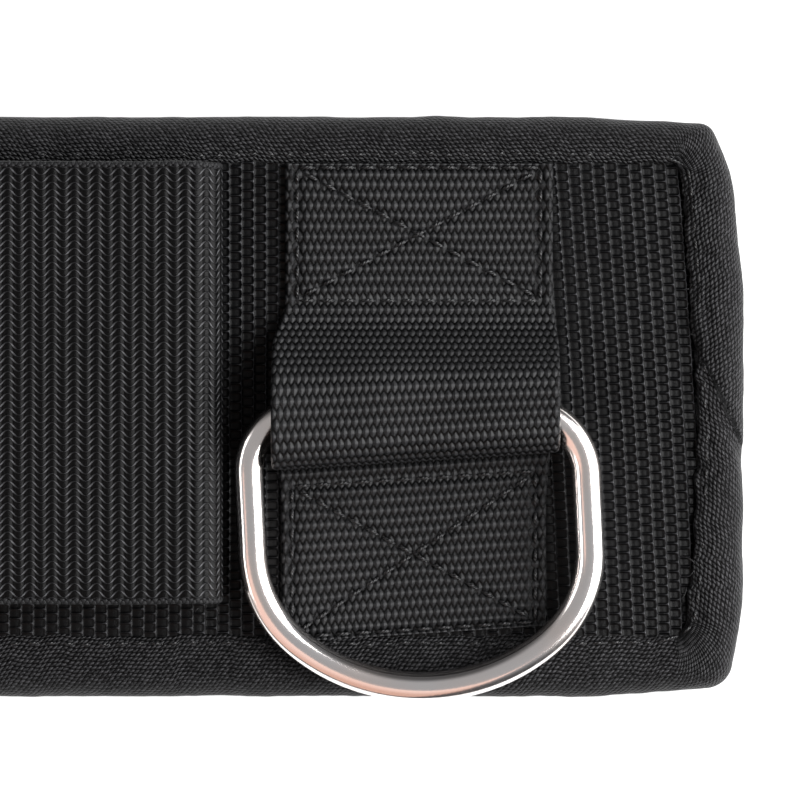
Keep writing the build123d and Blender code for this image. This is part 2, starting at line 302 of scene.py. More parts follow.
def jitter(nodes, u, v, amount, scale):
    """Lets the yarns wander a little, as woven ones do."""
    mix_u = nodes.times(nodes.minus(nodes.object_noise(scale), 0.5), amount)
    mix_v = nodes.times(nodes.minus(nodes.object_noise(scale * 1.3), 0.5), amount)
    return nodes.plus(u, mix_u), nodes.plus(v, mix_v)


def cloth_shader(nodes, height, tone, depth, dark, light, rough=0.4, gloss=0.16):
    """Black nylon: near-black yarn that shines where it turns, with a fibre grain in colour and gloss. Part
    of the shine is painted: tone runs the base colour from dark, painted shade in the gaps, to light, painted
    shine on the floats.
    """
    fuzz = nodes.object_noise(4200.0, 3.0)
    patches = nodes.object_noise(90.0, 2.0)
    tone = nodes.times(tone, nodes.ramp(fuzz, 0.3, 0.7, 0.6, 1.0))
    tone = nodes.times(tone, nodes.ramp(patches, 0.3, 0.7, 0.8, 1.0))
    # Painted light: tone picks the base colour between the dark yarn colour (painted shade) and the light one
    # (painted shine).
    nodes.drive("Base Color", nodes.mix(tone, (*dark, 1), (*light, 1)))
    roughness = nodes.ramp(fuzz, 0.2, 0.8, rough - 0.06, rough + 0.12)
    nodes.drive("Roughness", roughness)
    nodes.drive("Specular IOR Level", gloss)
    fine = nodes.bump(fuzz, 0.00008, 0.6)
    nodes.drive("Normal", nodes.bump(height, depth, 1.0, fine))
    return nodes.material


# Yarn colours where no painted shine is laid on; in the gaps between floats they also act as painted shade.
YARN_DARK = (0.0013, 0.0013, 0.0015)
YARN_DARKER = (0.0009, 0.0009, 0.001)
YARN_DARKEST = (0.0008, 0.0008, 0.001)


def strap_material(name, pitch, light=0.0225):
    """Plain webbing: rows of upright floats, each row half a step along from the last."""
    nodes = Nodes(name)
    u, v = jitter(nodes, *nodes.weave_place(), 0.00022, 160.0)
    height = nodes.weave(u, v, pitch * MM, 2 * STRAP_ROW * MM, (1.14, 0.305), (1.25, 1.35))
    # tone: painted shine on the crown of each float, painted shade in the gaps between them.
    tone = nodes.ramp(height, 0.08, 0.34)
    shine = (light, light, light * 1.06)
    return cloth_shader(nodes, height, tone, 0.38 * MM, YARN_DARKER, shine, gloss=0.12)


def face_material(name):
    """Ribbed webbing: square floats, dark in the middle, with a painted highlight round their edges, stronger
    on their right-hand sides.
    """
    nodes = Nodes(name)
    u, v = jitter(nodes, *nodes.weave_place(), 0.00026, 160.0)
    height = nodes.weave(u, v, FACE_RIB * MM, 1.65 * MM, (0.55, 0.55), (4.0, 5.0))
    # rim: a painted highlight along the edge of each float, in the base colour.
    rim = nodes.ramp(height, 0.22, 0.6, 1.0, 0.0)
    # Painted highlight: each rib's right-hand side is lighter than its left, where the right lamp falls.
    facing = nodes.centred(nodes.over(u, FACE_RIB * MM))
    tone = nodes.times(rim, nodes.ramp(facing, -0.5, 0.5, 0.2, 1.0))
    # Near the right end and beside the ring strap the ribs get a deeper bump and a stronger painted
    # highlight.
    beside = nodes.size(nodes.minus(u, 0.2725))
    at_end = nodes.ramp(u, 0.324, 0.346, 1.0, 2.8)
    relief_and_highlight = nodes.math("MAXIMUM", at_end, nodes.ramp(beside, 0.005, 0.009, 2.2, 1.0))
    height = nodes.times(height, relief_and_highlight)
    tone = nodes.times(tone, nodes.times(relief_and_highlight, 0.8))
    return cloth_shader(nodes, height, tone, 0.3 * MM, YARN_DARKEST, (0.1, 0.1, 0.107), gloss=0.11)


def band_material(name, selvages):
    """Fine ribbed webbing: thin yarn rows that run up one rib and down the next, looped at its edges."""
    nodes = Nodes(name)
    u, v = jitter(nodes, *nodes.weave_place(), 0.00018, 200.0)
    phase = nodes.times(u, math.pi / (BAND_RIB * MM))
    zigzag = nodes.times(nodes.math("COSINE", phase), 0.5)
    rows = nodes.plus(nodes.over(v, 1.26 * MM), zigzag)
    row = nodes.size(nodes.times(nodes.centred(rows), 2.0))
    steep = nodes.math("POWER", nodes.size(nodes.math("SINE", phase)), 3.0)
    thin = nodes.minus(row, nodes.times(steep, 0.15))
    line = nodes.ramp(thin, 0.03, 0.3, 1.0, 0.0)
    # tone: painted shine along the yarn rows, strongest on the rib flanks, which face the side lamps.
    tone = nodes.times(line, nodes.plus(nodes.times(steep, 0.86), 0.14))
    height = nodes.minus(nodes.times(line, 0.6), nodes.times(steep, 0.45))
    height = nodes.plus(height, 0.5)
    near = [nodes.ramp(nodes.size(nodes.minus(v, edge * MM)), 0.0004, 0.0007)
            for edge in selvages]
    inside = nodes.times(near[0], near[1])
    outside = nodes.minus(1.0, inside)
    loops = nodes.weave(u, v, 0.62 * MM, 1.5 * MM, (0.8, 0.5), (2.0, 2.0))
    rim = nodes.ramp(loops, 0.1, 0.6)
    height = nodes.plus(nodes.times(height, inside), nodes.times(loops, outside))
    # The selvage loops get a fainter painted shine on their crests.
    tone = nodes.plus(nodes.times(tone, inside), nodes.times(rim, nodes.times(outside, 0.25)))
    return cloth_shader(nodes, height, tone, 0.24 * MM, YARN_DARKER, (0.082, 0.082, 0.086), gloss=0.075)


def twill_material(name, pitch, period, lean, depth):
    """Binding tape: short floats in rows that lean across the tape."""
    nodes = Nodes(name)
    u, v = jitter(nodes, *nodes.weave_place(), 0.0004, 140.0)
    cos, sin = math.cos(math.radians(lean)), math.sin(math.radians(lean))
    along = nodes.plus(nodes.times(u, cos), nodes.times(v, sin))
    across = nodes.minus(nodes.times(v, cos), nodes.times(u, sin))
    height = nodes.weave(across, along, pitch * MM, period * MM, (0.78, 0.44), (1.7, 2.0))
    # loose: random unevenness in the painted shine; tone: painted shine on each float, with painted shade in
    # the gaps.
    loose = nodes.ramp(nodes.object_noise(1500.0, 2.0), 0.35, 0.65, 0.3, 1.0)
    tone = nodes.times(nodes.ramp(height, 0.18, 0.62), loose)
    dark, light = (0.0008, 0.0008, 0.0009), (0.045, 0.0445, 0.047)
    return cloth_shader(nodes, height, tone, depth * MM, dark, light, gloss=0.085)


def metal_material(name, colour, tint, rough, scratch, stretch):
    """Steel: a slightly uneven tint, fine scratches one way, and soft marks in the gloss. On the ring the
    tint is warm, a painted reflection of warm surroundings.
    """
    nodes = Nodes(name)
    cloud = nodes.object_noise(60.0, 3.0)
    marks = nodes.object_noise(1800.0, 2.0, stretch)
    colour_mix = nodes.mix(nodes.ramp(cloud, 0.35, 0.75), (*colour, 1), (*tint, 1))
    nodes.drive("Base Color", colour_mix)
    nodes.drive("Metallic", 1.0)
    gloss = nodes.plus(nodes.ramp(cloud, 0.3, 0.8, rough, rough * 1.5),
                       nodes.ramp(marks, 0.5, 0.9, 0.0, 0.06))
    nodes.drive("Roughness", gloss)
    nodes.drive("Normal", nodes.bump(marks, scratch * MM, 0.4))
    return nodes.material


def coating_material(name):
    """Dipped soft coating on the lead: nearly black, orange peel, a few scuffs."""
    nodes = Nodes(name)
    peel = nodes.object_noise(900.0, 2.0)
    scuff = nodes.ramp(nodes.object_noise(240.0, 6.0), 0.58, 0.9)
    nodes.drive("Base Color", nodes.mix(scuff, (0.012, 0.012, 0.014, 1), (0.03, 0.03, 0.033, 1)))
    nodes.drive("Roughness", nodes.ramp(scuff, 0.0, 1.0, 0.38, 0.7))
    nodes.drive("Normal", nodes.bump(peel, 0.00012, 0.6))
    return nodes.material


def mesh_material(name, cell):
    """Back lining: a spacer mesh with round holes in offset rows."""
    nodes = Nodes(name)
    u, v = nodes.weave_place()
    height = nodes.weave(u, v, cell * MM, 2 * cell * MM, (0.62, 0.34), (2.0, 2.0))
    # holes: the holes come out dark, painted shade; tone adds painted shine on the knit's raised loops.
    holes = nodes.ramp(height, 0.15, 0.55, 1.0, 0.0)
    knit = nodes.weave(u, v, 0.22 * MM, 0.5 * MM, (0.8, 0.5), (2.0, 2.0))
    surface = nodes.plus(holes, nodes.times(knit, 0.18))
    tone = nodes.times(holes, nodes.ramp(knit, 0.0, 0.7, 0.4, 1.0))
    return cloth_shader(nodes, surface, tone, 0.5 * MM, YARN_DARK, (0.035, 0.035, 0.038), 0.6)


def grain_material(name, light, pitch, depth, rough):
    """Tightly woven or looped cloth, seen as a fine grain."""
    nodes = Nodes(name)
    u, v = jitter(nodes, *nodes.weave_place(), 0.0003, 300.0)
    height = nodes.weave(u, v, pitch * MM, 2 * pitch * MM, (0.85, 0.5), (2.0, 2.0))
    # Tone from height: painted shine on the raised grain, painted shade in its hollows.
    return cloth_shader(nodes, height, nodes.ramp(height, 0.0, 0.7), depth * MM, YARN_DARK, light, rough)


def thread_material(name):
    """Bonded thread: two plies twisted, a little glossier than the webbing."""
    nodes = Nodes(name)
    u, v = nodes.weave_place()
    twist = nodes.math("SINE", nodes.times(nodes.plus(u, v), 2 * math.pi / (0.7 * MM)))
    height = nodes.times(nodes.plus(twist, 1.0), 0.5)
    dark, light = (0.002, 0.002, 0.002), (0.024, 0.024, 0.026)
    # Tone from the twist: painted shine along each ply's ridge.
    return cloth_shader(nodes, height, height, 0.1 * MM, dark, light, 0.38, 0.36)


# ---- straps

def strap_section(thickness, top_columns, bottom_columns):
    """A strap's outline as three lists: place across from -1 to 1, roundness beyond it, height."""
    r = thickness / 2
    angles = np.radians([65, 35, 0, -35, -65])
    across = [np.linspace(-1, 1, top_columns), np.ones(5), np.linspace(1, -1, bottom_columns), -np.ones(5)]
    beyond = [np.zeros(top_columns), r * np.cos(angles), np.zeros(bottom_columns), -r * np.cos(angles[::-1])]
    edge = r * np.sin(angles)
    height = [np.full(top_columns, r), edge, np.full(bottom_columns, -r), edge[::-1]]
    return np.concatenate(across), np.concatenate(beyond), np.concatenate(height)


def strap_points(line, run, half_width, section, rib_pitch, rib_height):
    """Points of a strap along a line: distances across it, and the two coordinates of its line."""
    across, beyond, height = section
    inset = height.max()
    steps = np.gradient(line, axis=0)
    steps /= norm(steps, axis=1, keepdims=True)
    normals = np.stack([-steps[:, 1], steps[:, 0]], -1)
    rib = rib_shape(run / rib_pitch)
    through = height[None, :] * (1 + (rib[:, None] - 1) * rib_height / inset)
    width = np.broadcast_to(np.asarray(half_width, float), run.shape)
    side = across[None, :] * (width[:, None] - inset) + beyond[None, :]
    place = line[:, None, :] + normals[:, None, :] * through[:, :, None]
    return side, place, through


def strap_piece(name, side, place, run, axes, middle):
    """Turns strap points into a mesh. axes gives which of X, Y, Z the line's pair and the width use."""
    points = np.zeros((*side.shape, 3))
    points[..., axes[0]] = place[..., 0]
    points[..., axes[1]] = place[..., 1]
    points[..., axes[2]] = side + middle
    along = np.broadcast_to(run[:, None], side.shape)
    uvs = np.stack([side, along], -1)
    uvs = np.concatenate([uvs, uvs[:, :1]], 1)
    return grid_piece(name, points, uvs, wrap_cols=True, caps=True)


def straight_strap(name, start, end, half_width, thickness, axes, middle, step=0.45, rib=(STRAP_ROW, 0.08)):
    """A flat length of strap or cloth between two points of its line."""
    start, end = np.array(start, float), np.array(end, float)
    length = norm(end - start)
    run = np.linspace(0, length, max(4, int(length / step)))
    line = start + (end - start) * (run / length)[:, None]
    section = strap_section(thickness, 24, 12)
    side, place, _ = strap_points(line, run, half_width, section, *rib)
    return strap_piece(name, side, place, run, axes, middle)


# ---- stitches

def stitch(start, end, width, height):
    """One sewn stitch: a rounded bead of thread that dives into the cloth at both ends."""
    rings, sides = 9, 8
    t = np.linspace(0, 1, rings)
    swell = np.sin(np.pi * np.clip(t, 0.04, 0.96)) ** 0.45
    angles = np.linspace(0, 2 * np.pi, sides, endpoint=False)
    start, end = np.array(start, float), np.array(end, float)
    forward = (end - start) / norm(end - start)
    beside = np.cross((0, 0, 1), forward)
    beside /= norm(beside)
    upward = np.cross(forward, beside)
    centre = start + (end - start) * t[:, None] + upward * (height * (np.sin(np.pi * t) - 0.75))[:, None]
    points = (
        centre[:, None, :]
        + beside * (width / 2 * swell[:, None] * np.cos(angles))[..., None]
        + upward * (height / 2 * swell[:, None] * np.sin(angles))[..., None]
    )
    faces, _ = grid_faces(rings, sides, False, True)
    faces = faces.tolist() + cap_faces(rings, sides)
    flat = points.reshape(-1, 3)
    reach = norm(end - start)
    uv = np.stack([np.repeat(t * reach, sides), np.tile(angles * width / 2, rings)], -1)
    corner_uvs = np.vstack([uv[face] for face in faces])
    return flat, faces, corner_uvs


def sewn_line(start, end, pitch, gap):
    """Start and end of each stitch along a line."""
    start, end = np.array(start, float), np.array(end, float)
    length = norm(end - start)
    count = max(1, int(round(length / pitch)))
    ahead = (end - start) / length
    bounds = np.linspace(0, length, count + 1)
    return [(start + ahead * (a + gap / 2), start + ahead * (b - gap / 2))
            for a, b in zip(bounds, bounds[1:])]


def show(piece, body, slot, material, *nodes):
    """Gives a new piece its material, hangs it on its body, and hides the CAD parts it replaces."""
    piece.data.materials.append(material)
    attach(piece, body)
    if nodes:
        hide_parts(*nodes)
    return piece


# ---- edge binding

PAD_THICKNESS = 13.2
FACE_TOP = 12.0
TAPE = 1.1
WINDOW_X = 350.5
WINDOW_TOP = 42.8
WINDOW_BOTTOM = -40.0
WINDOW_CORNER = 2.0
CHANNEL_HALF = 28.0
CHANNEL_CEILING = 6.2
LAP_START = np.array([355.4, 3.2])
LAP_END = np.array([360.0, -6.5])

OUTLINE_RIGHT = [
    (335.0, -51.1), (357.5, -49.5), (360.3, -36.0), (360.3, 22.0), (358.5, 41.0), (354.6, 50.0),
    (330.0, 51.2),
]
OUTLINE_RADII = [60.0, 5.0, 20.0, 60.0, 30.0, 3.0, 60.0]


def outline_rows():
    """The pad's outline, with rows closer together at the right end, which is seen close up."""
    corners = OUTLINE_RIGHT + [(-x, y) for x, y in reversed(OUTLINE_RIGHT)]
    fine, _ = rounded_path(corners, OUTLINE_RADII + OUTLINE_RADII[::-1], 0.2, closed=True)
    spacing = np.where(fine[:, 0] > 220, 0.5, 1.6)
    count = np.concatenate([[0], np.cumsum(0.2 / spacing)])
    rows = int(round(count[-1]))
    pick = np.interp(np.arange(rows) * count[-1] / rows, count, np.arange(len(fine) + 1))
    closed = np.vstack([fine, fine[:1]])
    index = np.arange(len(closed))
    line = np.stack([np.interp(pick, index, closed[:, k]) for k in (0, 1)], -1)
    return line, pick * 0.2


def right_inner_edge(y):
    """The inner edge of the binding bows out half way down the right end."""
    upper = 3.1 * ((y + 10) / 52.8) ** 2
    lower = 2.1 * ((y + 10) / 29.0) ** 2
    return 351.9 - np.where(y > -10, upper, lower)


def window_edge(outer):
    low = np.array([-WINDOW_X + WINDOW_CORNER, WINDOW_BOTTOM + WINDOW_CORNER])
    high = np.array([WINDOW_X - WINDOW_CORNER, WINDOW_TOP - WINDOW_CORNER])
    core = np.clip(outer, low, high)
    away = outer - core
    edge = core + WINDOW_CORNER * away / norm(away, axis=1, keepdims=True)
    waver = wobble(np.column_stack([edge, np.zeros(len(edge))]), 5.0, 3) * 0.35
    fine = wobble(np.column_stack([edge, np.zeros(len(edge))]), 1.3, 4) * 0.18
    towards = (outer - edge) / norm(outer - edge, axis=1, keepdims=True)
    edge = edge + towards * (waver + fine)[:, None]
    at_right = smooth_step(edge[:, 0], 347.5, 350.0)
    edge[:, 0] += (right_inner_edge(edge[:, 1]) - WINDOW_X) * at_right
    return edge


def binding_section(width):
    """Place outwards from the window's edge, and height, for one width of binding."""
    roll_x, roll_z, power = 5.0, PAD_THICKNESS / 2, 2.3
    flat = width - roll_x
    s = np.linspace(0.35, flat, 13)
    dip = 1.0 * (1 - s / flat) ** 2
    angles = np.linspace(0, np.pi, 31)[1:-1]
    roll_s = flat + roll_x * np.abs(np.sin(angles)) ** (2 / power)
    roll_h = roll_z + roll_z * np.sign(np.cos(angles)) * np.abs(np.cos(angles)) ** (2 / power)
    back = np.linspace(flat, 0.35, 8)
    out_s = np.concatenate([[0.0, 0.08], s, roll_s, back, [0.08]])
    out_h = np.concatenate([[PAD_THICKNESS - 2.0, PAD_THICKNESS - 1.2], PAD_THICKNESS - dip, roll_h,
                            0.12 * (1 - back / flat) ** 2, [0.5]])
    inner_angles = np.linspace(np.pi, 0, 9)
    in_s = flat + (roll_x - TAPE) * np.sin(inner_angles)
    in_h = roll_z + (roll_z - TAPE) * np.cos(inner_angles)
    in_s = np.concatenate([[0.0], in_s, [0.0]])
    in_h = np.concatenate([[TAPE], in_h, [FACE_TOP - 0.9]])
    return out_s, out_h, in_s, in_h


def make_binding():
    outer, run = outline_rows()
    edge = window_edge(outer)
    width = norm(outer - edge, axis=1)
    towards = (outer - edge) / width[:, None]
    sections = [binding_section(w) for w in width]
    out_s, out_h, in_s, in_h = (np.array([section[k] for section in sections]) for k in range(4))

    def place(s, h):
        flat = edge[:, None, :] + towards[:, None, :] * s[..., None]
        return np.concatenate([flat, h[..., None]], -1)

    skin = place(out_s, out_h)
    length = np.concatenate([np.zeros((len(outer), 1)),
                             np.cumsum(norm(np.diff(skin, axis=1), axis=2), axis=1)], 1)
    normals = grid_normals(skin, True, False)
    inside = np.clip(1 - out_s / width[:, None], 0, 1) * (out_h > 6)
    soft = wobble(skin * np.array([1.0, 1.0, 0.5]), 7.0, 1) * 0.16 + wobble(skin, 2.4, 2) * 0.05
    right = smooth_step(skin[..., 0], 345, 349)
    crumple = wobble(skin * np.array([1.0, 0.35, 1.0]), 1.5, 5) * 0.3 + wobble(skin, 3.0, 6) * 0.25
    crumple = crumple + wobble(skin, 0.8, 7) * 0.14
    soft = soft + crumple * right * smooth_step(inside, 0.35, 0.75)
    along = (LAP_END - LAP_START) / norm(LAP_END - LAP_START)
    beyond = (skin[..., 0] - LAP_START[0]) * -along[1] + (skin[..., 1] - LAP_START[1]) * along[0]
    near = right * (out_h > 3) * smooth_step(skin[..., 1], -16, -10) * (1 - smooth_step(skin[..., 1], 14, 24))
    step = 0.28 * smooth_step(beyond, -0.1, 0.25) - 0.4 * np.exp(-((beyond + 0.9) / 0.9) ** 2)
    soft = soft + step * near * smooth_step(out_h, 5, 11)
    side = np.sign(np.einsum("ijk,ijk->ij", normals, skin - place(in_s, in_h).mean(1, keepdims=True)))
    skin = skin + normals * (side * soft)[..., None]
    notch = (outer[:, 0] < -350) & (np.abs(outer[:, 1]) < CHANNEL_HALF)
    lining = place(in_s, in_h)
    skin[notch, :, 2] = np.maximum(skin[notch, :, 2], CHANNEL_CEILING)
    lining[notch, :, 2] = np.maximum(lining[notch, :, 2], CHANNEL_CEILING + 0.8)
    points = np.concatenate([skin, lining], 1)
    upper_tape = (beyond > 0) & (skin[..., 0] > 340) | (skin[..., 1] > 8) & (skin[..., 0] > -340)
    v = np.where(upper_tape, 40 - length, length)
    u = np.broadcast_to(run[:, None], v.shape)
    uv = np.concatenate([np.stack([u, v], -1), np.zeros((*lining.shape[:2], 2))], 1)
    uv = np.concatenate([uv, uv[:, :1]], 1)
    last = uv[:1].copy()
    last[..., 0] += run[-1] + (run[1] - run[0])
    uv = np.concatenate([uv, last], 0)
    return grid_piece("binding", points, uv, wrap_rows=True, wrap_cols=True)


# ---- face webbing

def rib_lean(x, y):
    """The ribs lean at the right end, following the binding's inner edge."""
    fall = 0.062 * (y + 40) + 0.018 / 80 * (y * y - 1600)
    return -fall * smooth_step(x, 286, 326)


def make_face():
    ribs = int(2 * 354 / FACE_RIB)
    x = (np.arange(ribs * 6 + 1) / 6 - ribs // 2) * FACE_RIB
    y = np.linspace(-45.8, 45.8, 36)
    grid_x, grid_y = np.meshgrid(x, y, indexing="ij")
    rib = rib_shape(grid_x / FACE_RIB)
    top_x = grid_x + rib_lean(grid_x, grid_y)
    flat = np.stack([grid_x, grid_y, np.zeros_like(grid_x)], -1)
    z = FACE_TOP - 0.22 + 0.22 * rib + wobble(flat, 22.0, 8) * 0.12
    edge = right_inner_edge(grid_y)
    z = z - 0.3 * smooth_step(top_x, edge - 0.6, edge)
    z = z - 0.8 * np.clip((top_x - edge + 15) / 15, 0, 1) ** 2
    top = np.stack([np.minimum(top_x, 355.0), grid_y, z], -1)
    base = np.stack([grid_x, grid_y, np.full_like(grid_x, FACE_TOP - 1.8)], -1)[:, [-1, 0]]
    points = np.concatenate([top, base], 1)
    uv = np.stack([grid_x, grid_y], -1)
    uv = np.concatenate([uv, uv[:, [-1, 0, 0]]], 1)
    return grid_piece("face_webbing_panel", points, uv, wrap_cols=True, caps=True)


# ---- padded back

RAIL = 29.3


def back_profile(x):
    """Half the pad's height there, and the depth of the strap channel."""
    half = 48.0 - max(0.0, abs(x) - 346) ** 2 / 22
    depth = 7.2 if x < 350.2 else 1.4
    return half, depth


def make_back():
    x = np.unique(np.concatenate([np.linspace(-357, 357, 260), [350.15, 350.25]]))
    rows = []
    for place in x:
        half, depth = back_profile(place)
        rail = np.linspace(RAIL, half - 0.6, 14)
        between = np.abs((place / 240 + 0.5) % 1 - 0.5) * 240
        puff = smooth_step(between, 12, 60) * smooth_step(abs(place), 352, 335)
        bow = np.clip(np.sin(np.pi * (rail - RAIL) / (rail[-1] - RAIL)), 0, 1) ** 0.7
        crown = 1.25 - (0.35 + 0.75 * puff) * bow
        ends = [half, half - 1, 1 - half, -half]
        y = np.concatenate([-rail[::-1], np.linspace(-RAIL + 0.1, RAIL - 0.1, 16), rail, ends])
        z = np.concatenate([crown[::-1], np.full(16, depth), crown, [4.0, 10.15, 10.15, 4.0]])
        rows.append(np.column_stack([np.full(len(y), place), y, z]))
    points = np.array(rows)
    points[..., 2] += wobble(points, 14.0, 9) * 0.12 * (points[..., 2] < 3)
    length = np.cumsum(norm(np.diff(points, axis=1, append=points[:, :1]), axis=2), axis=1)
    length = np.concatenate([np.zeros((len(x), 1)), length], 1)
    along = np.broadcast_to(x[:, None], length.shape)
    uv = np.stack([along, length], -1)
    return grid_piece("padded_back", points, uv, wrap_cols=True, caps=True)


# ---- weight sleeves

SLEEVE_WALL = 1.4


def stadium(length, radius, count):
    """Points and outward normals round a flat oval in X and Z, starting at the middle of its back."""
    straight, turn = length - 2 * radius, math.pi * radius
    whole, half = 2 * straight + 2 * turn, straight / 2
    t = np.arange(count) / count * whole
    a, b, c, d = np.cumsum([half, turn, straight, turn])
    right, left = -math.pi / 2 + (t - a) / radius, math.pi / 2 + (t - c) / radius
    parts = [t < a, t < b, t < c, t < d]
    x = np.select(parts, [t, half + radius * np.cos(right), half - (t - b), -half + radius * np.cos(left)],
                  -half + (t - d))
    nx = np.select(parts, [0 * t, np.cos(right), 0 * t, np.cos(left)], 0.0)
    nz = np.select(parts, [0 * t - 1, np.sin(right), 0 * t + 1, np.sin(left)], -1.0)
    return t, whole, np.stack([x, radius * nz], -1), np.stack([nx, nz], -1)


def make_sleeve(number):
    low, high = millimetre_box(f"weight_sleeve_{number}")
    middle = (low + high) / 2
    length, radius = high[0] - low[0], (high[2] - low[2]) / 2
    whole = 2 * (length - 2 * radius) + 2 * math.pi * radius
    ribs = 2 * int(round(whole / BAND_RIB / 2))
    t, whole, ring, normal = stadium(length, radius, ribs * 7)
    rib = rib_shape(t / whole * ribs)
    y_out = np.concatenate([[low[1] + 0.05, low[1] + 0.3], np.linspace(low[1] + 0.9, high[1] - 0.9, 30),
                            [high[1] - 0.3, high[1] - 0.05]])
    sink = np.concatenate([[0.55, 0.15], np.zeros(30), [0.15, 0.55]])
    y_in = np.linspace(high[1] - 0.3, low[1] + 0.3, 12)
    y = np.concatenate([y_out, y_in])
    depth = np.concatenate([sink, np.full(12, SLEEVE_WALL)])
    outside = np.concatenate([np.ones(34), np.zeros(12)])
    selvage = np.concatenate([smooth_step(np.abs(y_out - middle[1]), 38.0, 37.2), np.zeros(12)])
    relief = (rib[None, :] - 1) * 0.16 * selvage[:, None]
    spread = relief - depth[:, None]
    points = np.zeros((len(y), len(t), 3))
    points[..., 0] = middle[0] + ring[None, :, 0] + normal[None, :, 0] * spread
    points[..., 1] = y[:, None]
    points[..., 2] = middle[2] + ring[None, :, 1] + normal[None, :, 1] * spread
    front = np.clip(normal[:, 1], 0, 1)[None, :] * outside[:, None]
    across = np.clip(1 - ((points[..., 0] - middle[0]) / (length / 2 - radius)) ** 2, 0, 1)
    points[..., 2] += front * (0.25 * across + wobble(points, 26.0, 20 + number) * 0.14)
    points[..., 1] += wobble(points * np.array([1.0, 0.02, 0.1]), 4.0, 30 + number) * 0.12
    u = np.broadcast_to(np.append(t, whole) / whole * ribs * BAND_RIB, (len(y) + 1, len(t) + 1))
    v = np.broadcast_to(np.append(y - middle[1], y[0] - middle[1])[:, None], u.shape)
    return grid_piece(f"sleeve_{number}", points, np.stack([u, v], -1), wrap_rows=True, wrap_cols=True)


def make_tab(number):
    low, high = millimetre_box(f"weight_tab_{number}")
    middle = (low + high) / 2
    z, end = middle[2], low[1]
    upper = [(high[1], z + 0.6), (-38.2, z + 0.6), (-40.2, z + 2.8), (end + 0.6, z + 2.8)]
    lower = [(y, 2 * z - height) for y, height in upper[::-1]]
    line, run = rounded_path(upper + lower, [1.5, 1.5, 2.6, 2.6, 1.5, 1.5], 0.3)
    section = strap_section(1.15, 30, 16)
    side, place, _ = strap_points(line, run, 7.5, section, STRAP_ROW, 0.1)
    return strap_piece(f"tab_{number}", side, place, run, (1, 2, 0), middle[0])


# ---- ring straps

RING_STRAP_PLACE = 302.5
RING_STRAP_LINE = [
    (-39.8, 12.75), (8.0, 12.75), (8.0, 14.45), (-8.75, 14.45),
    (-8.75, 24.95), (4.7, 24.95), (14.94, 12.75), (42.6, 12.75),
]
RING_STRAP_RADII = [0.845, 0.845, 3.6, 6.0, 7.0, 7.0]
LOWER_TILT = math.tan(math.radians(3.6))
UPPER_PATCH = (18.6, 41.9)
LOWER_PATCH = (-39.0, -12.6)
PATCH_HALF = 21.3
PATCH_TOP = 13.5


def patch_lines(patch):
    """The four sides and both diagonals of one box of stitching, about the strap's middle."""
    low, high = patch
    inner = PATCH_HALF - 0.9
    corners = [(-PATCH_HALF, low), (PATCH_HALF, low), (PATCH_HALF, high), (-PATCH_HALF, high)]
    sides = list(zip(corners, corners[1:] + corners[:1]))
    return sides + [((-inner, low + 0.8), (inner, high - 0.8)), ((-inner, high - 0.8), (inner, low + 0.8))]


def groove(x, y, patch):
    """How strongly the stitching pulls the strap down at each point: 1 on a line of stitches."""
    pull = np.zeros_like(x)
    for (x0, y0), (x1, y1) in patch_lines(patch):
        dx, dy = x1 - x0, y1 - y0
        t = np.clip(((x - x0) * dx + (y - y0) * dy) / (dx * dx + dy * dy), 0, 1)
        distance = np.hypot(x - x0 - t * dx, y - y0 - t * dy)
        pull = np.maximum(pull, np.exp(-((distance / 0.75) ** 2)))
    return pull


def make_ring_strap(side_name, sign):
    line, run = rounded_path(RING_STRAP_LINE, RING_STRAP_RADII, 0.3)
    on_top = (line[:, 0] > 10) & (run > 60)
    lower_run = run < 45
    half = 25.0 - 1.5 * smooth_step(line[:, 0], 10, 19) * (run > 60)
    half = half - 1.8 * smooth_step(run, 45, 20)
    section = strap_section(1.5, 96, 20)
    side, place, through = strap_points(line, run, half, section, STRAP_ROW, 0.17)
    edge_bead = 0.12 * smooth_step(np.abs(section[0]), 0.955, 0.975) * (section[2] > 0)
    place[..., 1] += edge_bead * np.sign(through)
    top_face = section[2][None, :] > 0.5
    pull = groove(side, place[..., 0], UPPER_PATCH) * on_top[:, None]
    pull = pull + groove(side, place[..., 0], LOWER_PATCH) * lower_run[:, None]
    place[..., 1] -= 0.38 * pull * top_face
    loose = np.concatenate([[0], np.cumsum(np.hypot(*np.diff(line, axis=0).T))])
    hump = smooth_step(loose, 62, 72) * (1 - smooth_step(loose, 94, 106))
    flat = np.stack([side, place[..., 0], place[..., 1]], -1)
    place[..., 1] += (wobble(flat, 16.0, 40 + sign) * 0.35) * hump[:, None]
    crest = smooth_step(loose, 76, 84) * (1 - smooth_step(loose, 88, 100))
    place[..., 1] -= crest[:, None] * 0.5 * (1 - (side / 25) ** 2)
    fold = np.argmax(line[:, 1] > 22)
    tilt = 1 - smooth_step(run, run[fold], run[fold] + 24)
    place[..., 0] += side * LOWER_TILT * tilt[:, None]
    shift = 0.6 * smooth_step(line[:, 0], 10, 19) * (run > 60) - 0.3 * smooth_step(run, 45, 20)
    side = side + shift[:, None]
    return strap_piece(f"ring_strap_{side_name}", side, place, run, (1, 2, 0), sign * RING_STRAP_PLACE)


def make_patch_stitches():
    parts = []
    for sign in (1, -1):
        for patch, tilt, shift in ((UPPER_PATCH, 0.0, 0.6), (LOWER_PATCH, LOWER_TILT, -0.3)):
            for start, end in patch_lines(patch):
                for a, b in sewn_line(start, end, 3.5, 0.75):
                    ends = [(sign * RING_STRAP_PLACE + p[0] + shift, p[1] + tilt * p[0], PATCH_TOP + 0.02)
                            for p in (a, b)]
                    parts.append(stitch(*ends, 0.62, 0.6))
    return joined("ring_strap_stitches", parts)


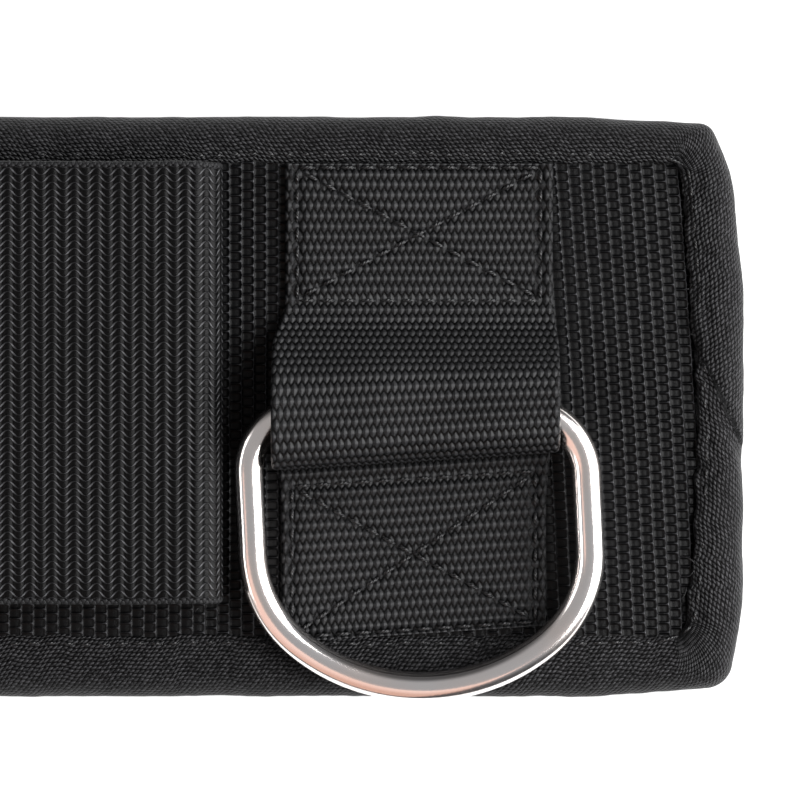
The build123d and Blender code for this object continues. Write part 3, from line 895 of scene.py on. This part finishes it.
def make_binding_stitches():
    """A row of stitches round the window, just outside the binding's inner edge."""
    outer, _ = rounded_path(
        [(WINDOW_X, WINDOW_BOTTOM), (WINDOW_X, WINDOW_TOP),
         (-WINDOW_X, WINDOW_TOP), (-WINDOW_X, WINDOW_BOTTOM)],
        [2.0] * 4, 3.1, closed=True,
    )
    centre = outer.mean(0)
    away = np.sign(outer - centre)
    at_side = np.abs(np.abs(outer[:, 0]) - WINDOW_X) < 2.2
    outer = outer + away * np.stack([at_side * 1.6, ~at_side * 1.5], -1)
    bulge = right_inner_edge(outer[:, 1]) - WINDOW_X
    outer[:, 0] += bulge * (outer[:, 0] > 345)
    waver = wobble(np.column_stack([outer, np.zeros(len(outer))]), 6.0, 11) * 0.3
    outer = outer + away * np.stack([at_side, ~at_side], -1) * waver[:, None]
    parts = []
    for a, b in zip(outer, np.roll(outer, -1, 0)):
        middle, half = (a + b) / 2, (b - a) * 0.39
        ends = [(*(middle + half * k), PAD_THICKNESS - 0.5) for k in (-1, 1)]
        parts.append(stitch(*ends, 0.5, 0.45))
    return joined("binding_stitches", parts)


# ---- rings

RING_PLACE = 302.64
RING_BAR_Y = -0.3
RING_AXIS_Z = 17.9
RING_HALF = 29.45
RING_CORNER = 11.5
RING_LEG_END = -24.9
RING_SHOULDER = 20.66
RING_SHOULDER_TURN = 52.0
RING_DROP = math.radians(2.0)
WIRE_RADIUS = 2.58
WIRE_POWER = 2.3


def arc(middle, radius, start, end):
    angles = np.radians(np.linspace(start, end, 40))
    return np.array(middle) + radius * np.stack([np.cos(angles), np.sin(angles)], -1)


def ring_route(step):
    """The ring's centre line: bar, corner, leg, shoulder and flattened end, then their mirror image."""
    corner = arc((RING_HALF - RING_CORNER, -RING_CORNER), RING_CORNER, 90, 0)
    shoulder = arc((RING_HALF - RING_SHOULDER, RING_LEG_END), RING_SHOULDER, 0, -RING_SHOULDER_TURN)
    turn = math.radians(RING_SHOULDER_TURN)
    end_radius = shoulder[-1, 0] / math.cos(turn)
    end = arc((0, shoulder[-1, 1] + end_radius * math.sin(turn)), end_radius, -RING_SHOULDER_TURN, -90)
    half = np.vstack([[[0.0, 0.0]], corner, shoulder, end[1:]])
    half[-1, 0] = 0.0
    line = np.vstack([half, (half * np.array([-1, 1]))[::-1][1:-1], half[:1]])
    run = np.concatenate([[0], np.cumsum(np.hypot(*np.diff(line, axis=0).T))])
    places = np.linspace(0, run[-1], int(run[-1] / step), endpoint=False)
    return np.stack([np.interp(places, run, line[:, k]) for k in (0, 1)], -1), places


def make_ring(side_name, sign):
    """Hand-bent wire, a little flat on its faces, that leans over sideways towards its round end."""
    line, run = ring_route(0.55)
    steps = np.roll(line, -1, 0) - np.roll(line, 1, 0)
    steps /= norm(steps, axis=1, keepdims=True)
    beside = np.stack([steps[:, 1], -steps[:, 0]], -1)
    angles = np.linspace(0, 2 * np.pi, 48, endpoint=False)
    cos, sin = np.cos(angles), np.sin(angles)
    out = WIRE_RADIUS * np.sign(cos) * np.abs(cos) ** (2 / WIRE_POWER)
    up = WIRE_RADIUS * np.sign(sin) * np.abs(sin) ** (2 / WIRE_POWER)
    flat = line[:, None, :] + beside[:, None, :] * out[None, :, None]
    height = np.broadcast_to(up, flat.shape[:2])
    sway = 0.95 * smooth_step(-flat[..., 1], 3, 31)
    points = np.stack([
        sign * (RING_PLACE + sway) + flat[..., 0],
        RING_BAR_Y + flat[..., 1] * math.cos(RING_DROP) - height * math.sin(RING_DROP),
        RING_AXIS_Z + flat[..., 1] * math.sin(RING_DROP) + height * math.cos(RING_DROP),
    ], -1)
    u = np.broadcast_to(np.append(run, run[-1] + 0.55)[:, None], (len(run) + 1, 49))
    v = np.broadcast_to(np.append(angles, 2 * np.pi) * WIRE_RADIUS, u.shape)
    return grid_piece(f"ring_{side_name}", points, np.stack([u, v], -1), wrap_rows=True, wrap_cols=True)


# ---- waist strap and keepers

WAIST_LINE = [
    (-384.0, 2.5), (-406.0, 2.5), (-419.0, 4.6), (-426.9, 4.6), (-426.9, 0.8),
    (-380.0, 0.8), (-364.0, 4.8), (345.0, 4.8), (345.0, 2.5), (-77.0, 2.5),
]
WAIST_RADII = [8.0, 8.0, 1.0, 1.0, 20.0, 20.0, 1.145, 1.145]


def make_waist_strap():
    line, run = rounded_path(WAIST_LINE, WAIST_RADII, 0.45)
    section = strap_section(1.55, 22, 14)
    side, place, _ = strap_points(line, run, 25.0, section, STRAP_ROW, 0.12)
    return strap_piece("waist_webbing", side, place, run, (0, 2, 1), 0.0)


def make_waist_stitches():
    """A box and cross where the strap is sewn back on itself behind the buckle."""
    corners = [(-386.5, -19.0), (-386.5, 19.0), (-404.0, 19.0), (-404.0, -19.0)]
    lines = list(zip(corners, corners[1:] + corners[:1]))
    lines += [((-387.3, -18.2), (-403.2, 18.2)), ((-387.3, 18.2), (-403.2, -18.2))]
    parts = []
    for start, end in lines:
        for a, b in sewn_line(start, end, 3.4, 0.7):
            parts.append(stitch((*a, 3.3), (*b, 3.3), 0.62, 0.5))
    return joined("waist_strap_stitches", parts)


KEEPER_PLACES = (-240.0, 0.0, 240.0)


def make_keepers():
    return [straight_strap(f"keeper_{number}", (-36.0, 0.6), (36.0, 0.6), 10.0, 1.15, (1, 2, 0), place)
            for number, place in enumerate(KEEPER_PLACES, start=1)]


def make_keeper_stitches():
    """Two close rows of stitches at each end of each keeper, seen from the back."""
    parts = []
    for place in KEEPER_PLACES:
        for side in (-1, 1):
            for y in (31.5, 34.0):
                for a, b in sewn_line((place - 9.0, side * y), (place + 9.0, side * y), 1.8, 0.4):
                    parts.append(stitch((*b, 0.12), (*a, 0.12), 0.55, 0.3))
    return joined("keeper_stitches", parts)


# ---- sleeve details

SLEEVE_PLACES = (-207.0, -69.0, 69.0, 207.0)


def make_end_panels():
    """The top of each sleeve is closed by a strip of cloth."""
    return [straight_strap(f"end_panel_{number}", (place - 55, 42.1), (place + 55, 42.1), 4.5, 0.95,
                           (0, 1, 2), 17.9, 1.2, (2.4, 0.05))
            for number, place in enumerate(SLEEVE_PLACES, start=1)]


def make_closures():
    """The mouth of each sleeve closes with a hook strip below and a loop strip above."""
    return [(kind, straight_strap(f"{kind}_strip_{number}", (place - 50, z), (place + 50, z), 2.75, 0.48,
                                  (0, 2, 1), -30.95, 0.6, (1.2, 0.1)))
            for number, place in enumerate(SLEEVE_PLACES, start=1)
            for kind, z in (("hook", 13.65), ("loop", 22.15))]


def make_frays():
    """Loose fibres at the cut end of the binding tape and along its inner edge."""
    starts = [
        (358.2, -5.4, 13.0, 200, 1.6), (358.9, -6.3, 12.7, 160, 1.3), (357.6, -6.6, 13.1, 230, 1.9),
        (358.5, -7.2, 12.9, 10, 1.0), (351.9, -27.4, 12.6, 183, 3.4), (352.4, -26.6, 12.9, 120, 1.4),
        (351.7, -28.6, 12.5, 215, 2.6), (350.3, -31.2, 12.4, 228, 4.2), (351.2, -33.0, 12.6, 250, 1.8),
        (352.2, -14.0, 12.8, 150, 1.5), (351.4, 12.5, 12.7, 165, 1.3), (350.6, 20.6, 12.7, 200, 1.2),
        (352.9, -2.5, 12.9, 100, 1.8), (349.6, 33.5, 12.7, 185, 1.1), (354.0, -27.0, 13.1, 5, 2.4),
        (268.2, -34.6, 23.0, 280, 1.1), (265.0, -34.7, 23.4, 255, 0.9), (268.7, 42.3, 22.0, 60, 0.9),
    ]
    parts = []
    for number, (x, y, z, heading, length) in enumerate(starts):
        t = np.linspace(0, 1, 10)
        bend = math.sin(number * 2.7) * 1.1
        angle = math.radians(heading) + bend * t + 0.5 * np.sin(5 * t + number)
        step = length / 9
        line = np.stack([x + np.cumsum(np.cos(angle)) * step, y + np.cumsum(np.sin(angle)) * step,
                         z + 0.35 * np.sin(np.pi * t)], -1)
        ring = np.linspace(0, 2 * np.pi, 5, endpoint=False)
        thick = 0.055 * (1 - 0.6 * t)
        beside = np.stack([-np.sin(angle), np.cos(angle), np.zeros(10)], -1)
        points = (line[:, None] + beside[:, None] * (thick[:, None] * np.cos(ring))[..., None]
                  + np.array([0, 0, 1.0]) * (thick[:, None] * np.sin(ring))[..., None])
        faces, _ = grid_faces(10, 5, False, True)
        faces = faces.tolist() + cap_faces(10, 5)
        parts.append((points.reshape(-1, 3), faces, np.zeros((sum(len(f) for f in faces), 2))))
    return joined("loose_fibres", parts)


# ---- the belt

twill = twill_material("binding_tape", 0.42, 1.55, -28.0, 0.36)
face_weave = face_material("face_webbing")
band_weave = band_material("sleeve_webbing", (-37.9, 37.9))
strap_weave = strap_material("ring_webbing", 0.6175)
waist_weave = strap_material("waist_webbing", 0.6175, 0.026)
keeper_weave = strap_material("keeper_webbing", 0.6175, 0.024)
tab_weave = strap_material("tab_webbing", 0.5, 0.032)
lining = mesh_material("lining_mesh", 1.1)
panel = grain_material("panel_cloth", (0.03, 0.03, 0.032), 0.28, 0.15, 0.6)
hooks = grain_material("hook_tape", (0.035, 0.035, 0.037), 0.7, 0.5, 0.45)
loops = grain_material("loop_tape", (0.025, 0.025, 0.027), 0.45, 0.4, 0.8)
thread = thread_material("thread")
# The ring's two colours are warm, the second one more so, mixed in patches: painted reflection of warm
# surroundings in the steel.
ring_steel = metal_material("ring_steel", (0.9, 0.87, 0.86), (0.87, 0.79, 0.75), 0.13, 0.014, (1, 1, 1))
brushed = (1, 0.04, 1)
buckle_steel = metal_material("buckle_steel", (0.62, 0.62, 0.63), (0.56, 0.56, 0.57), 0.26, 0.012, brushed)
lever_steel = metal_material("lever_steel", (0.66, 0.66, 0.67), (0.6, 0.6, 0.6), 0.22, 0.012, brushed)
pin_steel = metal_material("pin_steel", (0.6, 0.6, 0.6), (0.55, 0.55, 0.55), 0.2, 0.01, (1, 1, 1))
tip_steel = metal_material("tip_steel", (0.55, 0.55, 0.56), (0.5, 0.5, 0.5), 0.28, 0.02, (1, 0.1, 1))
coating = coating_material("plate_coating")

show(make_binding(), "belt", "binding_tape", twill, "edge_binding")
show(make_face(), "belt", "face_webbing", face_weave, "face_webbing")
back = show(make_back(), "belt", "lining_mesh", lining, "back_lining", "foam_core")
for number in (1, 2, 3, 4):
    show(make_sleeve(number), "belt", "sleeve_webbing", band_weave, f"weight_sleeve_{number}")
    show(make_tab(number), f"weight_{number}", "tab_webbing", tab_weave, f"weight_tab_{number}")
for side_name, sign in (("right", 1), ("left", -1)):
    strap = make_ring_strap(side_name, sign)
    show(strap, "belt", "ring_webbing", strap_weave, f"d_ring_strap_{side_name}")
    ring = make_ring(side_name, sign)
    show(ring, f"ring_{side_name}", "ring_steel", ring_steel, f"d_ring_{side_name}")
show(make_patch_stitches(), "belt", "thread", thread, "strap_stitching")
show(make_binding_stitches(), "belt", "thread", thread)
show(make_frays(), "belt", "thread", thread)
show(make_waist_strap(), "belt", "waist_webbing", waist_weave, "waist_strap")
show(make_waist_stitches(), "belt", "thread", thread)
for piece in make_keepers():
    show(piece, "belt", "keeper_webbing", keeper_weave, "strap_keepers")
show(make_keeper_stitches(), "belt", "thread", thread)
for piece in make_end_panels():
    show(piece, "belt", "panel_cloth", panel, "sleeve_end_panels")
for kind, piece in make_closures():
    material = hooks if kind == "hook" else loops
    show(piece, "belt", f"{kind}_tape", material, f"closure_{kind}_strips")


def refine(node, material, radius):
    """Softens a CAD part's sharp edges and gives it its material."""
    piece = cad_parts[node]
    piece.data.materials.clear()
    piece.data.materials.append(material)
    weld = piece.modifiers.new("weld", "WELD")
    weld.merge_threshold = 0.00001
    bevel = piece.modifiers.new("soft_edges", "BEVEL")
    bevel.width = radius * MM
    bevel.segments = 2
    bevel.limit_method = "ANGLE"
    bevel.angle_limit = math.radians(40)
    bevel.harden_normals = True
    even = piece.modifiers.new("even_shading", "WEIGHTED_NORMAL")
    even.weight = 100
    even.keep_sharp = True


for number in (1, 2, 3, 4):
    refine(f"weight_plate_{number}", coating, 0.3)
refine("buckle_frame", buckle_steel, 0.25)
refine("buckle_lever", lever_steel, 0.25)
refine("buckle_pin", pin_steel, 0.2)
refine("strap_tip", tip_steel, 0.12)


# ---- studio

def area_light(name, place, target, size, power, colour=(1, 1, 1)):
    data = bpy.data.lights.new(name, "AREA")
    data.shape = "RECTANGLE"
    data.size, data.size_y = size
    data.energy = power
    data.color = colour
    light = bpy.data.objects.new(name, data)
    scene.collection.objects.link(light)
    light.location = place
    light.rotation_euler = (Vector(target) - Vector(place)).to_track_quat("-Z", "Y").to_euler()
    light.visible_camera = False
    return light


FLOOR_REACH = 8.0
FLOOR_DROP = 0.0003


def make_floor():
    mesh = bpy.data.meshes.new("floor")
    signs = ((-1, -1), (1, -1), (1, 1), (-1, 1))
    corners = [(x * FLOOR_REACH, y * FLOOR_REACH, -FLOOR_DROP) for x, y in signs]
    mesh.from_pydata(corners, [], [(0, 1, 2, 3)])
    floor = bpy.data.objects.new("floor", mesh)
    scene.collection.objects.link(floor)
    nodes = Nodes("floor")
    speck = nodes.object_noise(40.0, 3.0)
    nodes.drive("Base Color", nodes.mix(speck, (0.5, 0.5, 0.5, 1), (0.54, 0.54, 0.54, 1)))
    nodes.drive("Roughness", 0.9)
    nodes.drive("Emission Color", (1, 1, 1, 1))
    nodes.drive("Emission Strength", 0.45)
    mesh.materials.append(nodes.material)


make_floor()
belt_end = (0.3, 0, 0.02)
area_light("right_softbox", (1.48, 0.05, 0.8), belt_end, (1.6, 1.7), 88)
area_light("left_softbox", (-1.43, 0.0, 1.0), (0.2, 0, 0.02), (1.6, 0.6), 10)
card = area_light("warm_card", (-0.2, -0.92, 0.94), belt_end, (1.5, 1.6), 5.2, (1.0, 0.58, 0.44))
card.visible_diffuse = False

world = bpy.data.worlds.new("studio")
scene.world = world
world.use_nodes = True
room = Tree(world.node_tree)
direction = room.add("ShaderNodeTexCoord")
split = room.add("ShaderNodeSeparateXYZ")
room.link(direction.outputs["Generated"], split.inputs[0])
to_walls = room.ramp(room.size(split.outputs[1]), 0.35, 0.85)
background = world.node_tree.nodes["Background"]
room.put(background.inputs["Color"], room.mix(to_walls, (0.37, 0.37, 0.375, 1), (0.08, 0.08, 0.082, 1)))
scene.view_settings.view_transform = "Standard"

lens = bpy.data.cameras.new("camera")
lens.lens = 200.0
lens.sensor_width = 36.0
lens.clip_start = 0.01
camera = bpy.data.objects.new("camera", lens)
scene.collection.objects.link(camera)
camera.location = (0.2998, 0.0012, 0.792)
scene.camera = camera
